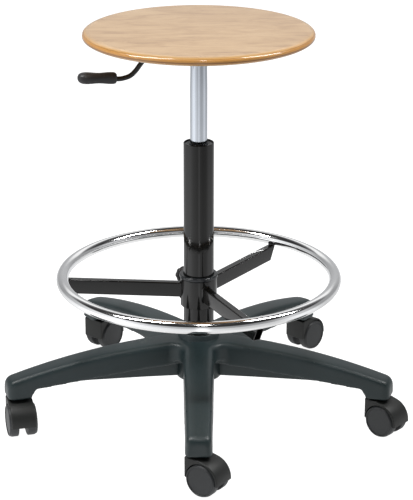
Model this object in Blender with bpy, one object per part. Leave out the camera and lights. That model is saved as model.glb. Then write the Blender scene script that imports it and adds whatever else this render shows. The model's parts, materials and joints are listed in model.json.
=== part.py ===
"""Adjustable swivel stool: a round plywood seat on a gas lift, a clamped foot ring, and a five-arm base
on twin-wheel casters. Metres, +Z up, floor at Z = 0; the front arm points along -Y."""

import math

import bmesh
import bpy
from mathutils import Matrix, Vector

MM = 0.001

# Fits
GAP = 0.3 * MM            # between pieces that touch, seat or run in one another
RUN_GAP = 1.0 * MM        # between pieces that turn past each other

# Seat
SEAT_RADIUS = 186 * MM
SEAT_THICKNESS = 16 * MM
SCREW_RADIUS = 2.5 * MM
SCREW_HEAD_RADIUS = 5 * MM
SCREW_HEAD_HEIGHT = 2.7 * MM
SCREW_DEPTH = 10 * MM     # into the seat
SCREW_SPACING = 100 * MM

# Seat mechanism
PLATE_SIDE = 130 * MM
PLATE_CORNER = 12 * MM
SHEET = 2.5 * MM
CHANNEL_LENGTH = 100 * MM
CHANNEL_WIDTH = 60 * MM
CHANNEL_HEIGHT = 26 * MM
SOCKET_WALL = 4.5 * MM
SOCKET_DROP = 8 * MM      # below the channel
LEVER_ANGLE = math.radians(195)
LEVER_ROD_RADIUS = 4 * MM
LEVER_PIVOT_REACH = 28 * MM
LEVER_PIVOT_RADIUS = 5 * MM
LEVER_INNER_REACH = -6 * MM
LEVER_BELOW_PLATE = 9.2 * MM
LEVER_BEND_REACH = 79.5 * MM
LEVER_BEND_RUN = 33 * MM
LEVER_DROP = 44.5 * MM
LEVER_BEND_RADIUS = 16 * MM
GRIP_START = 135 * MM
GRIP_LENGTH = 63 * MM
GRIP_BORE_DEPTH = 24 * MM
GRIP_TILT = math.radians(3.5)

# Gas lift
CYLINDER_RADIUS = 14 * MM
CYLINDER_WALL = 2 * MM
CYLINDER_TAPER = 0.8 * MM
CYLINDER_IN_COLUMN = 77 * MM
CYLINDER_END = 6 * MM
LIFT_TRAVEL = 125 * MM
BUTTON_RADIUS = 3.8 * MM
BUTTON_HEAD_RADIUS = 6 * MM
BUTTON_HEAD_HEIGHT = 3.4 * MM
BUTTON_LENGTH = 20 * MM
BUTTON_TRAVEL = 4 * MM
ROD_RADIUS = 5 * MM
ROD_STUB_RADIUS = 4 * MM
GLAND_LENGTH = 12 * MM
PISTON_LENGTH = 10 * MM
COLUMN_RADIUS = 25 * MM
COLUMN_WALL = 1.8 * MM
COLUMN_LENGTH = 403 * MM
COLUMN_TAPER = 1.4 * MM
COLUMN_TAPER_LENGTH = 72 * MM
COLUMN_FLOOR = 3 * MM
BUSH_LENGTH = 78 * MM
BUSH_RECESS = 2 * MM
BEARING_RADIUS = 11 * MM
RACE_THICKNESS = 2 * MM
CAGE_THICKNESS = 3 * MM
BUMPER_RADIUS = 12 * MM
BUMPER_LENGTH = 20 * MM
CLIP_RADIUS = 9 * MM
CLIP_THICKNESS = 1.5 * MM
CLIP_DROP = 3 * MM        # below the column's floor

# Foot ring
RING_RADIUS = 226.5 * MM  # to the tube's centreline
RING_TUBE_RADIUS = 10 * MM
RING_HEIGHT = 236 * MM
LINER_WALL = 1.5 * MM
LINER_LIP_OVERHANG = 1.7 * MM   # past the collar
LINER_LIP_HEIGHT = 6 * MM
COLLAR_WALL = 3.2 * MM
COLLAR_HEIGHT = 49 * MM
SPOKE_WIDTH = 13 * MM
SPOKE_HEIGHT = 25.4 * MM
SPOKE_WALL = 1.6 * MM
SPOKE_SLANT = 14 * MM
SPOKE_ANGLE = math.radians(175.4)
SPOKE_COUNT = 3
CLAMP_SCREW_RADIUS = 4 * MM
CLAMP_BOSS_RADIUS = 9 * MM
CLAMP_BOSS_LENGTH = 6.7 * MM    # from the collar's outside
KNOB_RADIUS = 14 * MM
KNOB_THICKNESS = 14 * MM
KNOB_STANDOFF = 16 * MM         # from the boss

# Base
ARM_COUNT = 5
STEM_CIRCLE = 312 * MM
HUB_RIM_WALL = 3.4 * MM
HUB_SHOULDER = 5 * MM         # from the rim out to the hub's side
HUB_BELOW_FOOT = 3 * MM
HUB_RIM_RISE = 9 * MM
ARM_ROOT_HEIGHT = 69 * MM     # arm's top at the hub, above its foot
ARM_DROP = 34 * MM            # fall of the arm's top from hub to stem
ARM_CURVE = 2.3
ARM_ROOT_HALF_WIDTH = 27 * MM
ARM_TIP_HALF_WIDTH = 21.5 * MM
ARM_TOP_INSET = 8 * MM
ARM_WALL = 4 * MM
ARM_CORNER = 9 * MM
SKIRT_RISE = 14 * MM          # skirt's lower edge above the arm's foot
SKIRT_ROOT_RISE = 17 * MM
FOOT_HALF_LENGTH = 21 * MM    # from the stem's axis to the arm's end
RIB_THICKNESS = 3 * MM
SLEEVE_WALL = 4 * MM

# Casters
WHEEL_RADIUS = 27 * MM
WHEEL_WIDTH = 17 * MM
WHEEL_INNER = 6.5 * MM        # from the caster's middle to a wheel's inner face
WHEEL_SIDES = 20
HOOD_WALL = 3 * MM
WEB_HALF = 3.5 * MM
WEB_BELOW_AXLE = 8 * MM
CASTER_TRAIL = 17 * MM
CASTER_NECK_HEIGHT = 3 * MM
CASTER_NECK_RADIUS = 9 * MM
STEM_RADIUS = 5.5 * MM
STEM_IN_ARM = 30 * MM
STEM_IN_BODY = 9 * MM
AXLE_RADIUS = 3 * MM
CASTERS = {                   # place: (arm's number from the front, trail direction)
    "front": (0, math.radians(-35)),
    "right": (1, math.radians(-42)),
    "rear_right": (2, math.radians(48)),
    "rear_left": (3, math.radians(50)),
    "left": (4, math.radians(-75)),
}

# Heights and places that follow
HOOD_RADIUS = WHEEL_RADIUS + RUN_GAP + HOOD_WALL
FOOT_Z = WHEEL_RADIUS + HOOD_RADIUS + CASTER_NECK_HEIGHT + RUN_GAP + RUN_GAP
ROOT_Z = FOOT_Z + ARM_ROOT_HEIGHT
HUB_BOTTOM_Z = FOOT_Z - HUB_BELOW_FOOT
HUB_TOP_Z = ROOT_Z + HUB_RIM_RISE
COLUMN_BOTTOM_Z = HUB_BOTTOM_Z + 6 * MM
COLUMN_TOP_Z = COLUMN_BOTTOM_Z + COLUMN_LENGTH
SOCKET_BOTTOM_Z = COLUMN_TOP_Z + LIFT_TRAVEL + 9 * MM
CHANNEL_BOTTOM_Z = SOCKET_BOTTOM_Z + SOCKET_DROP
PLATE_BOTTOM_Z = CHANNEL_BOTTOM_Z + CHANNEL_HEIGHT + GAP
SEAT_BOTTOM_Z = PLATE_BOTTOM_Z + SHEET + GAP
LEVER_Z = PLATE_BOTTOM_Z - LEVER_BELOW_PLATE
BUTTON_TOP_Z = LEVER_Z - LEVER_ROD_RADIUS - GAP
CYLINDER_TOP_Z = BUTTON_TOP_Z - BUTTON_HEAD_HEIGHT - BUTTON_TRAVEL - GAP
CYLINDER_BOTTOM_Z = COLUMN_TOP_Z - CYLINDER_IN_COLUMN
COLUMN_BORE = COLUMN_RADIUS - COLUMN_WALL
SPOKE_TOP_Z = RING_HEIGHT - RING_TUBE_RADIUS - GAP
COLLAR_TOP_Z = RING_HEIGHT
COLLAR_BORE = COLUMN_RADIUS + LINER_WALL + 2 * GAP
COLLAR_RADIUS = COLLAR_BORE + COLLAR_WALL
LINER_LIP_RADIUS = COLLAR_RADIUS + LINER_LIP_OVERHANG
CLAMP_BOSS_REACH = COLLAR_RADIUS + CLAMP_BOSS_LENGTH
KNOB_REACH = CLAMP_BOSS_REACH + KNOB_STANDOFF
HUB_BORE = COLUMN_RADIUS + GAP + SLEEVE_WALL + GAP
HUB_RIM_RADIUS = HUB_BORE + HUB_RIM_WALL
HUB_RADIUS = HUB_RIM_RADIUS + HUB_SHOULDER
CLAMP_ANGLE = SPOKE_ANGLE - math.pi / SPOKE_COUNT
CLAMP_Z = COLLAR_TOP_Z - 17 * MM


def material(name, colour, roughness, metallic=0.0):
    """A Principled material, made once for each name."""
    made = bpy.data.materials.get(name)
    if made is None:
        made = bpy.data.materials.new(name)
        made.use_nodes = True
        shader = made.node_tree.nodes["Principled BSDF"]
        shader.inputs["Base Color"].default_value = (*colour, 1)
        shader.inputs["Roughness"].default_value = roughness
        shader.inputs["Metallic"].default_value = metallic
    return made


MATERIALS = {
    "plywood": ((0.72, 0.47, 0.24), 0.25),
    "black_steel": ((0.02, 0.02, 0.02), 0.2),
    "zinc_steel": ((0.6, 0.6, 0.6), 0.35, 1.0),
    "chrome": ((0.85, 0.85, 0.85), 0.06, 1.0),
    "satin_steel": ((0.62, 0.62, 0.63), 0.3, 1.0),
    "nylon": ((0.035, 0.04, 0.042), 0.5),
    "black_plastic": ((0.02, 0.02, 0.022), 0.35),
    "acetal": ((0.6, 0.58, 0.52), 0.4),
    "rubber": ((0.02, 0.02, 0.02), 0.8),
    "tread": ((0.03, 0.03, 0.033), 0.55),
}


def arc(x, y, radius, start, end, steps):
    """Points on an arc from one angle to another, in degrees, with both ends."""
    angles = [math.radians(start + (end - start) * i / steps) for i in range(steps + 1)]
    return [(x + radius * math.cos(a), y + radius * math.sin(a)) for a in angles]


def turned(profile, sides, phase=0.0):
    """A solid of revolution about Z from (radius, height) points. It is closed on the axis or on itself."""
    mesh = bmesh.new()
    points = [mesh.verts.new((x, 0, z)) for x, z in profile]
    for first, second in zip(points, points[1:]):
        mesh.edges.new((first, second))
    if profile[0][0] > 0:
        mesh.edges.new((points[-1], points[0]))
    bmesh.ops.spin(mesh, geom=mesh.verts[:] + mesh.edges[:], cent=(0, 0, 0), axis=(0, 0, 1),
                   angle=math.tau, steps=sides, use_merge=True)
    bmesh.ops.remove_doubles(mesh, verts=mesh.verts[:], dist=0.001 * MM)
    bmesh.ops.rotate(mesh, verts=mesh.verts[:], matrix=Matrix.Rotation(phase, 3, "Z"))
    return mesh


def ring(inner, outer, low, high, sides):
    """A plain round ring about Z."""
    return turned([(inner, low), (outer, low), (outer, high), (inner, high)], sides)


def disc(radius, low, high, sides):
    """A plain round bar about Z."""
    return turned([(0, low), (radius, low), (radius, high), (0, high)], sides)


def extruded(outline, low, high):
    """A flat (x, y) outline extruded along Z."""
    return lofted([[Vector((x, y, z)) for x, y in outline] for z in (low, high)])


def lofted(sections):
    """A solid skinned over rings of points that all have the same count."""
    mesh = bmesh.new()
    rows = [[mesh.verts.new(point) for point in section] for section in sections]
    for near, far in zip(rows, rows[1:]):
        for i in range(len(near)):
            j = (i + 1) % len(near)
            mesh.faces.new((near[i], near[j], far[j], far[i]))
    mesh.faces.new(rows[0])
    mesh.faces.new(rows[-1])
    return mesh


def moved(mesh, *matrices):
    """The same mesh after each matrix in turn."""
    for matrix in matrices:
        mesh.transform(matrix)
    return mesh


def merged(meshes):
    """Several meshes that don't touch, held as one."""
    whole = bmesh.new()
    for mesh in meshes:
        data = bpy.data.meshes.new("piece")
        mesh.to_mesh(data)
        whole.from_mesh(data)
        bpy.data.meshes.remove(data)
    return whole


def add(name, mesh, look, parent, location=(0, 0, 0)):
    """The mesh as a named object with its material, under its parent."""
    mesh.normal_update()
    bmesh.ops.recalc_face_normals(mesh, faces=mesh.faces[:])
    data = bpy.data.meshes.new(name)
    mesh.to_mesh(data)
    data.shade_smooth()
    data.set_sharp_from_angle(angle=math.radians(40))
    if look:
        data.materials.append(material(look, *MATERIALS[look]))
    made = bpy.data.objects.new(name, data)
    bpy.context.scene.collection.objects.link(made)
    made.parent = parent
    made.location = location
    return made


def combine(target, mesh, operation):
    """A Boolean on the target with a hidden helper under the same parent."""
    count = len(target.modifiers) + 1
    helper = add(f"{target.name}_{operation.lower()}_{count}", mesh, None, target.parent, target.location)
    helper.hide_render = True
    helper.display_type = "WIRE"
    change = target.modifiers.new(f"{operation.lower()} {count}", "BOOLEAN")
    change.operation = operation
    change.solver = "EXACT"
    change.object = helper


def cut(target, mesh):
    combine(target, mesh, "DIFFERENCE")


def fuse(target, mesh):
    combine(target, mesh, "UNION")


def empty(name, parent, location=(0, 0, 0), turn=0.0):
    """A parent frame turned about Z."""
    made = bpy.data.objects.new(name, None)
    bpy.context.scene.collection.objects.link(made)
    made.parent = parent
    made.location = location
    made.rotation_euler = (0, 0, turn)
    return made


def along_x(mesh):
    """Turns a mesh built along Z so that it lies along +X."""
    return moved(mesh, Matrix.Rotation(math.pi / 2, 4, "Y"))


def along_y(mesh):
    """Turns a mesh built along Z so that it lies along -Y and +Y."""
    return moved(mesh, Matrix.Rotation(math.pi / 2, 4, "X"))


def shifted(mesh, x=0.0, y=0.0, z=0.0):
    return moved(mesh, Matrix.Translation((x, y, z)))


# Seat and its fixing

def screw_places():
    half = SCREW_SPACING / 2
    return [(half, half), (-half, half), (-half, -half), (half, -half)]


def seat(parent):
    """The plywood disc with its full-round edge and the four pilot holes."""
    edge = SEAT_THICKNESS / 2
    outline = [(0, SEAT_THICKNESS)]
    outline += arc(SEAT_RADIUS - edge, edge, edge, 90, -90, 6)
    outline += [(0, 0)]
    made = add("seat", turned(outline, 56), "plywood", parent, (0, 0, SEAT_BOTTOM_Z))
    holes = [shifted(disc(SCREW_RADIUS + GAP, -RUN_GAP, SCREW_DEPTH + RUN_GAP, 10), x, y)
             for x, y in screw_places()]
    cut(made, merged(holes))


def seat_screws(parent):
    """Pan-head screws that hold the plate to the seat."""
    head_z = PLATE_BOTTOM_Z - GAP - SCREW_HEAD_HEIGHT
    shank = SEAT_BOTTOM_Z + SCREW_DEPTH - head_z
    outline = [(0, 0), (SCREW_HEAD_RADIUS * 0.6, 0), (SCREW_HEAD_RADIUS, SCREW_HEAD_HEIGHT * 0.6),
               (SCREW_HEAD_RADIUS, SCREW_HEAD_HEIGHT), (SCREW_RADIUS, SCREW_HEAD_HEIGHT),
               (SCREW_RADIUS, shank - 2 * SCREW_RADIUS), (0, shank)]
    for number, (x, y) in enumerate(screw_places(), 1):
        add(f"seat_screw_{number}", turned(outline, 10), "zinc_steel", parent, (x, y, head_z))


def rounded_square(side, corner, steps=3):
    half = side / 2 - corner
    centres = [(half, half), (-half, half), (-half, -half), (half, -half)]
    return [point for i, (x, y) in enumerate(centres)
            for point in arc(x, y, corner, 90 * i, 90 * i + 90, steps)]


def seat_plate(parent):
    """The flat steel plate under the seat."""
    body = extruded(rounded_square(PLATE_SIDE, PLATE_CORNER), 0, SHEET)
    made = add("seat_plate", body, "black_steel", parent, (0, 0, PLATE_BOTTOM_Z))
    holes = [shifted(disc(SCREW_RADIUS + 2 * GAP, -RUN_GAP, SHEET + RUN_GAP, 10), x, y)
             for x, y in screw_places()]
    cut(made, merged(holes))


def mechanism_channel(parent):
    """The pressed channel below the plate: open at both ends, drilled for the lever's pivot and the socket."""
    half = CHANNEL_WIDTH / 2
    inner = half - SHEET
    outline = [(-half, CHANNEL_HEIGHT), (-half, 0), (half, 0), (half, CHANNEL_HEIGHT),
               (inner, CHANNEL_HEIGHT), (inner, SHEET), (-inner, SHEET), (-inner, CHANNEL_HEIGHT)]
    body = moved(extruded(outline, -CHANNEL_LENGTH / 2, CHANNEL_LENGTH / 2),
                 Matrix.Rotation(math.pi / 2, 4, "X"), Matrix.Rotation(math.pi / 2, 4, "Z"))
    made = add("mechanism_channel", body, "black_steel", parent, (0, 0, CHANNEL_BOTTOM_Z))
    cut(made, disc(CYLINDER_RADIUS + SOCKET_WALL + GAP, -RUN_GAP, SHEET + RUN_GAP, 24))
    pivot = along_y(disc(LEVER_PIVOT_RADIUS + GAP, -CHANNEL_WIDTH, CHANNEL_WIDTH, 12))
    cut(made, shifted(pivot, LEVER_PIVOT_REACH, 0, LEVER_Z - CHANNEL_BOTTOM_Z))


def cylinder_radius_at(z):
    """The gas cylinder narrows from the socket's mouth to its top."""
    share = (z - SOCKET_BOTTOM_Z) / (CYLINDER_TOP_Z - SOCKET_BOTTOM_Z)
    return CYLINDER_RADIUS - CYLINDER_TAPER * max(0.0, share)


def taper_socket(parent):
    """The ring that the cylinder's taper seats in."""
    top = CYLINDER_TOP_Z - 2 * MM
    outer = CYLINDER_RADIUS + SOCKET_WALL
    outline = [(cylinder_radius_at(SOCKET_BOTTOM_Z) + GAP, SOCKET_BOTTOM_Z), (outer, SOCKET_BOTTOM_Z),
               (outer, top), (cylinder_radius_at(top) + GAP, top)]
    add("taper_socket", turned(outline, 24), "black_steel", parent)


# Release lever

def bent_path(corners, radius, steps):
    """A path in a plane through the corners, each corner rounded to the radius."""
    points = [Vector(corners[0])]
    for before, corner, after in zip(corners, corners[1:], corners[2:]):
        here = Vector(corner)
        back = (Vector(before) - here).normalized()
        on = (Vector(after) - here).normalized()
        half = back.angle(on) / 2
        reach = radius / math.tan(half)
        centre = here + (back + on).normalized() * (radius / math.sin(half))
        first = here + back * reach - centre
        last = here + on * reach - centre
        points += [centre + first.slerp(last, i / steps).normalized() * radius for i in range(steps + 1)]
    return points + [Vector(corners[-1])]


def swept_rod(path, radius, sides):
    """A round rod along a path in the XZ plane."""
    sections = []
    for i, point in enumerate(path):
        on = (path[min(i + 1, len(path) - 1)] - path[max(i - 1, 0)]).normalized()
        across = Vector((-on.z, 0, on.x))
        angles = [math.tau * k / sides for k in range(sides)]
        sections.append([point + across * (radius * math.cos(a)) + Vector((0, radius * math.sin(a), 0))
                         for a in angles])
    return lofted(sections)


def lever(parent):
    """The bent rod with its cross pivot, and the waisted grip on its end."""
    pivot = empty("lever_pivot", parent, (LEVER_PIVOT_REACH, 0, LEVER_Z))
    bend = LEVER_BEND_REACH - LEVER_PIVOT_REACH
    grip_x = GRIP_START - LEVER_PIVOT_REACH
    low = bend + LEVER_BEND_RUN
    rod_end = grip_x + GRIP_BORE_DEPTH - RUN_GAP
    climb = math.tan(GRIP_TILT)
    corners = [(LEVER_INNER_REACH - LEVER_PIVOT_REACH, 0, 0), (bend, 0, 0), (low, 0, -LEVER_DROP),
               (rod_end, 0, (rod_end - low) * climb - LEVER_DROP)]
    rod = add("lever_rod", swept_rod(bent_path(corners, LEVER_BEND_RADIUS, 4), LEVER_ROD_RADIUS, 10),
              "black_steel", pivot)
    fuse(rod, along_y(disc(LEVER_PIVOT_RADIUS, -CHANNEL_WIDTH / 2, CHANNEL_WIDTH / 2, 12)))

    sections = []
    shape = [(0.0, 7, 7), (0.04, 9.5, 9.4), (0.2, 10, 9.8), (0.42, 10, 8.4), (0.6, 12, 9),
             (0.8, 13, 9.4), (0.94, 11, 7.6), (1.0, 5, 4)]
    for share, half_width, half_height in shape:
        x = GRIP_LENGTH * share
        angles = [math.tau * (k + 0.5) / 12 for k in range(12)]
        sections.append([Vector((x, half_width * MM * math.cos(a), half_height * MM * math.sin(a)))
                         for a in angles])
    hold = empty("lever_grip_frame", pivot, (grip_x, 0, (grip_x - low) * climb - LEVER_DROP))
    hold.rotation_euler = (0, -GRIP_TILT, 0)
    grip = add("lever_grip", lofted(sections), "black_plastic", hold)
    cut(grip, along_x(disc(LEVER_ROD_RADIUS + GAP, -RUN_GAP, GRIP_BORE_DEPTH, 10)))


# Gas lift

def gas_cylinder(parent):
    """The sliding cylinder: open for the gland below and drilled for the release button above."""
    bore = CYLINDER_RADIUS - CYLINDER_WALL
    hole = BUTTON_RADIUS + GAP
    end = CYLINDER_TOP_Z - CYLINDER_END
    outline = [(CYLINDER_RADIUS, CYLINDER_BOTTOM_Z), (CYLINDER_RADIUS, SOCKET_BOTTOM_Z),
               (cylinder_radius_at(CYLINDER_TOP_Z), CYLINDER_TOP_Z), (hole, CYLINDER_TOP_Z), (hole, end),
               (bore, end), (bore, CYLINDER_BOTTOM_Z)]
    add("gas_cylinder", turned(outline, 24), "satin_steel", parent)
    add("rod_gland", ring(ROD_RADIUS + GAP, bore - GAP, CYLINDER_BOTTOM_Z + RUN_GAP,
                          CYLINDER_BOTTOM_Z + RUN_GAP + GLAND_LENGTH, 16), "black_plastic", parent)


def release_button(parent):
    """The valve pin that the lever presses."""
    head_z = BUTTON_TOP_Z - BUTTON_HEAD_HEIGHT
    outline = [(0, BUTTON_TOP_Z), (BUTTON_HEAD_RADIUS, BUTTON_TOP_Z), (BUTTON_HEAD_RADIUS, head_z),
               (BUTTON_RADIUS, head_z), (BUTTON_RADIUS, head_z - BUTTON_LENGTH), (0, head_z - BUTTON_LENGTH)]
    add("release_button", turned(outline, 14), "black_plastic", parent)


def column_radius_at(z):
    """The column narrows to its lower end."""
    share = (z - COLUMN_BOTTOM_Z) / COLUMN_TAPER_LENGTH
    return COLUMN_RADIUS - COLUMN_TAPER * max(0.0, 1 - share)


def column(parent):
    """The outer column, open above, with a drilled floor and a tapered lower end."""
    floor_z = COLUMN_BOTTOM_Z + COLUMN_FLOOR
    taper_z = COLUMN_BOTTOM_Z + COLUMN_TAPER_LENGTH
    hole = ROD_STUB_RADIUS + RUN_GAP
    outline = [(COLUMN_RADIUS, COLUMN_TOP_Z), (COLUMN_RADIUS, taper_z),
               (column_radius_at(COLUMN_BOTTOM_Z), COLUMN_BOTTOM_Z), (hole, COLUMN_BOTTOM_Z), (hole, floor_z),
               (column_radius_at(floor_z) - COLUMN_WALL, floor_z), (COLUMN_BORE, taper_z),
               (COLUMN_BORE, COLUMN_TOP_Z)]
    add("column_tube", turned(outline, 32), "black_steel", parent)
    bush_top = COLUMN_TOP_Z - BUSH_RECESS
    outline = [(COLUMN_BORE - GAP, bush_top), (COLUMN_BORE - GAP, bush_top - BUSH_LENGTH),
               (CYLINDER_RADIUS + GAP, bush_top - BUSH_LENGTH), (CYLINDER_RADIUS + GAP, bush_top - 3 * MM),
               (CYLINDER_RADIUS + 2 * MM, bush_top)]
    add("guide_bush", turned(outline, 32), "black_plastic", parent)


def thrust_bearing(fixed, turning):
    """Two races and a cage that carry the piston rod on the column's floor, under a rubber bumper."""
    z = COLUMN_BOTTOM_Z + COLUMN_FLOOR + GAP
    bore = ROD_STUB_RADIUS + RUN_GAP
    add("bearing_lower_race", ring(bore, BEARING_RADIUS, z, z + RACE_THICKNESS, 16), "zinc_steel", fixed)
    z += RACE_THICKNESS + GAP
    add("bearing_cage", ring(bore, BEARING_RADIUS, z, z + CAGE_THICKNESS, 16), "acetal", fixed)
    z += CAGE_THICKNESS + GAP
    add("bearing_upper_race", ring(bore, BEARING_RADIUS, z, z + RACE_THICKNESS, 16), "zinc_steel", turning)
    z += RACE_THICKNESS + GAP
    bumper_z = z + RACE_THICKNESS + GAP
    add("rubber_bumper", ring(ROD_RADIUS + GAP, BUMPER_RADIUS, bumper_z, bumper_z + BUMPER_LENGTH, 16),
        "rubber", turning)
    piston_z = CYLINDER_BOTTOM_Z + RUN_GAP + GLAND_LENGTH + RUN_GAP
    clip_z = COLUMN_BOTTOM_Z - CLIP_DROP
    outline = [(0, clip_z - CLIP_THICKNESS - RUN_GAP), (ROD_STUB_RADIUS, clip_z - CLIP_THICKNESS - RUN_GAP),
               (ROD_STUB_RADIUS, z), (ROD_RADIUS + CYLINDER_WALL, z),
               (ROD_RADIUS + CYLINDER_WALL, z + RACE_THICKNESS), (ROD_RADIUS, z + RACE_THICKNESS),
               (ROD_RADIUS, piston_z + PISTON_LENGTH + RUN_GAP), (0, piston_z + PISTON_LENGTH + RUN_GAP)]
    add("piston_rod", turned(outline, 16), "satin_steel", turning)
    bore = CYLINDER_RADIUS - CYLINDER_WALL
    add("piston", ring(ROD_RADIUS + GAP, bore - 2 * GAP, piston_z, piston_z + PISTON_LENGTH, 16),
        "acetal", turning)
    add("retaining_clip", ring(ROD_STUB_RADIUS + GAP, CLIP_RADIUS, clip_z - CLIP_THICKNESS, clip_z, 16),
        "zinc_steel", turning)


# Foot ring

def ring_liner(parent):
    """The plastic liner between collar and column, with its lip above the collar."""
    bore = COLUMN_RADIUS + GAP
    bottom = COLLAR_TOP_Z - COLLAR_HEIGHT
    lip_z = COLLAR_TOP_Z + GAP
    outline = [(bore, bottom), (bore + LINER_WALL, bottom), (bore + LINER_WALL, lip_z),
               (LINER_LIP_RADIUS - RUN_GAP, lip_z), (LINER_LIP_RADIUS, lip_z + RUN_GAP),
               (LINER_LIP_RADIUS, lip_z + LINER_LIP_HEIGHT - RUN_GAP),
               (LINER_LIP_RADIUS - RUN_GAP, lip_z + LINER_LIP_HEIGHT), (bore, lip_z + LINER_LIP_HEIGHT)]
    add("ring_liner", turned(outline, 28), "black_plastic", parent)


def collar(parent):
    """The steel collar with the clamp screw's boss."""
    outline = [(COLLAR_BORE, COLLAR_TOP_Z), (COLLAR_RADIUS, COLLAR_TOP_Z),
               (COLLAR_RADIUS, COLLAR_TOP_Z - COLLAR_HEIGHT), (COLLAR_BORE, COLLAR_TOP_Z - COLLAR_HEIGHT)]
    made = add("collar", turned(outline, 28), "black_steel", parent)
    side = moved(along_x(disc(CLAMP_BOSS_RADIUS, COLLAR_BORE + RUN_GAP, CLAMP_BOSS_REACH, 16)),
                 Matrix.Rotation(CLAMP_ANGLE, 4, "Z"))
    fuse(made, shifted(side, z=CLAMP_Z))
    hole = moved(along_x(disc(CLAMP_SCREW_RADIUS + GAP, 0, CLAMP_BOSS_REACH + RUN_GAP, 12)),
                 Matrix.Rotation(CLAMP_ANGLE, 4, "Z"))
    cut(made, shifted(hole, z=CLAMP_Z))


def spoke(name, parent, angle):
    """A rectangular tube, coped to the collar, with a slanted open outer end under the ring."""
    frame = empty(f"{name}_frame", parent, (0, 0, 0), angle)
    start = COLLAR_RADIUS / 2
    end = RING_RADIUS

    def section(x_top, x_bottom, inset):
        half = SPOKE_WIDTH / 2 - inset
        top = SPOKE_TOP_Z - inset
        bottom = SPOKE_TOP_Z - SPOKE_HEIGHT + inset
        return [Vector((x_top, -half, top)), Vector((x_top, half, top)),
                Vector((x_bottom, half, bottom)), Vector((x_bottom, -half, bottom))]

    tube = lofted([section(start, start, 0), section(end, end - SPOKE_SLANT, 0)])
    made = add(name, tube, "black_steel", frame)
    past = end + SPOKE_WIDTH
    cut(made, lofted([section(0, 0, SPOKE_WALL), section(past, past, SPOKE_WALL)]))
    cut(made, disc(COLLAR_RADIUS + GAP, 0, RING_HEIGHT, 28))


def foot_ring(parent):
    """The round chromed tube that the feet rest on."""
    outline = arc(RING_RADIUS, 0, RING_TUBE_RADIUS, 0, 330, 11)
    add("foot_ring", turned(outline, 60), "chrome", parent, (0, 0, RING_HEIGHT))


def clamp_knob(parent):
    """The clamp screw, whose tip presses the liner, and its round knob."""
    frame = empty("clamp_frame", parent, (0, 0, CLAMP_Z), CLAMP_ANGLE)
    tip = COLUMN_RADIUS + LINER_WALL + 3 * GAP
    screw = along_x(disc(CLAMP_SCREW_RADIUS, tip, KNOB_REACH + KNOB_THICKNESS / 2, 12))
    add("clamp_screw", screw, "zinc_steel", frame)
    edge = 3 * MM
    bore = CLAMP_SCREW_RADIUS + GAP
    floor = KNOB_THICKNESS / 2 + GAP
    outline = [(bore, 0), (KNOB_RADIUS - edge, 0), (KNOB_RADIUS, edge), (KNOB_RADIUS, KNOB_THICKNESS - edge),
               (KNOB_RADIUS - edge, KNOB_THICKNESS), (0, KNOB_THICKNESS), (0, floor), (bore, floor)]
    knob = shifted(along_x(closed_turn(outline, 20)), x=KNOB_REACH)
    add("clamp_knob", knob, "black_plastic", frame)


def closed_turn(outline, sides):
    """A solid of revolution whose outline starts and ends off the axis but has an edge on it."""
    on_axis = [i for i, (radius, _) in enumerate(outline) if radius == 0]
    last = on_axis[-1]
    return turned(outline[last:] + outline[:last], sides)


# Base

def arm_top(r):
    """Height of the arm's top face at a reach from the column."""
    return ROOT_Z - ARM_DROP * (r / STEM_CIRCLE) ** ARM_CURVE


def arm_half_width(r):
    share = min(1.0, r / STEM_CIRCLE)
    return ARM_ROOT_HALF_WIDTH + (ARM_TIP_HALF_WIDTH - ARM_ROOT_HALF_WIDTH) * share


def skirt_bottom(r):
    """Height of the skirt's lower edge."""
    share = max(0.0, 1 - (r / STEM_CIRCLE) ** 2)
    return FOOT_Z + SKIRT_RISE + SKIRT_ROOT_RISE * share ** 1.5


def arm_section(r, top, bottom, half, inset=0.0):
    """A drafted section with chamfered top corners, seen along the arm."""
    side = half - inset
    high = top - inset
    shoulder = [(side, bottom), (side - 1.5 * MM, high - ARM_CORNER),
                (side - ARM_TOP_INSET * 0.45, high - ARM_CORNER * 0.35), (side - ARM_TOP_INSET, high)]
    points = shoulder + [(-y, z) for y, z in reversed(shoulder)]
    return [Vector((r, y, z)) for y, z in points]


def arm_solid():
    """One arm along +X, from inside the hub to its rounded foot."""
    heel = STEM_CIRCLE - FOOT_HALF_LENGTH
    tip = STEM_CIRCLE + FOOT_HALF_LENGTH
    sections = []
    for share in (0.07, 0.2, 0.36, 0.52, 0.68, 0.84):
        r = heel * share
        sections.append(arm_section(r, arm_top(r), skirt_bottom(r), arm_half_width(r)))
    rise = skirt_bottom(heel) - FOOT_Z
    for x, lift in ((heel, 1.0), (heel + 3 * MM, 0.35), (heel + 8 * MM, 0.0)):
        sections.append(arm_section(x, arm_top(x), FOOT_Z + rise * lift, arm_half_width(x)))
    round_end = 12 * MM
    for angle in (0, 30, 60, 85):
        a = math.radians(angle)
        x = tip - round_end * (1 - math.sin(a))
        half = arm_half_width(x) - round_end * 0.8 * (1 - math.cos(a))
        top = arm_top(tip - round_end) - round_end * (1 - math.cos(a))
        bottom = FOOT_Z + 5 * MM * (1 - math.cos(a))
        sections.append(arm_section(x, top, bottom, half))
    return lofted(sections)


def arm_hollow():
    """The space under one arm's top, between its skirts."""
    heel = STEM_CIRCLE - FOOT_HALF_LENGTH
    sections = []
    for r in (HUB_RADIUS + ARM_WALL, heel * 0.36, heel * 0.52, heel * 0.68, heel * 0.84, heel - ARM_WALL):
        bottom = FOOT_Z - RUN_GAP
        sections.append(arm_section(r, arm_top(r), bottom, arm_half_width(r), ARM_WALL))
    return lofted(sections)


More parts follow.
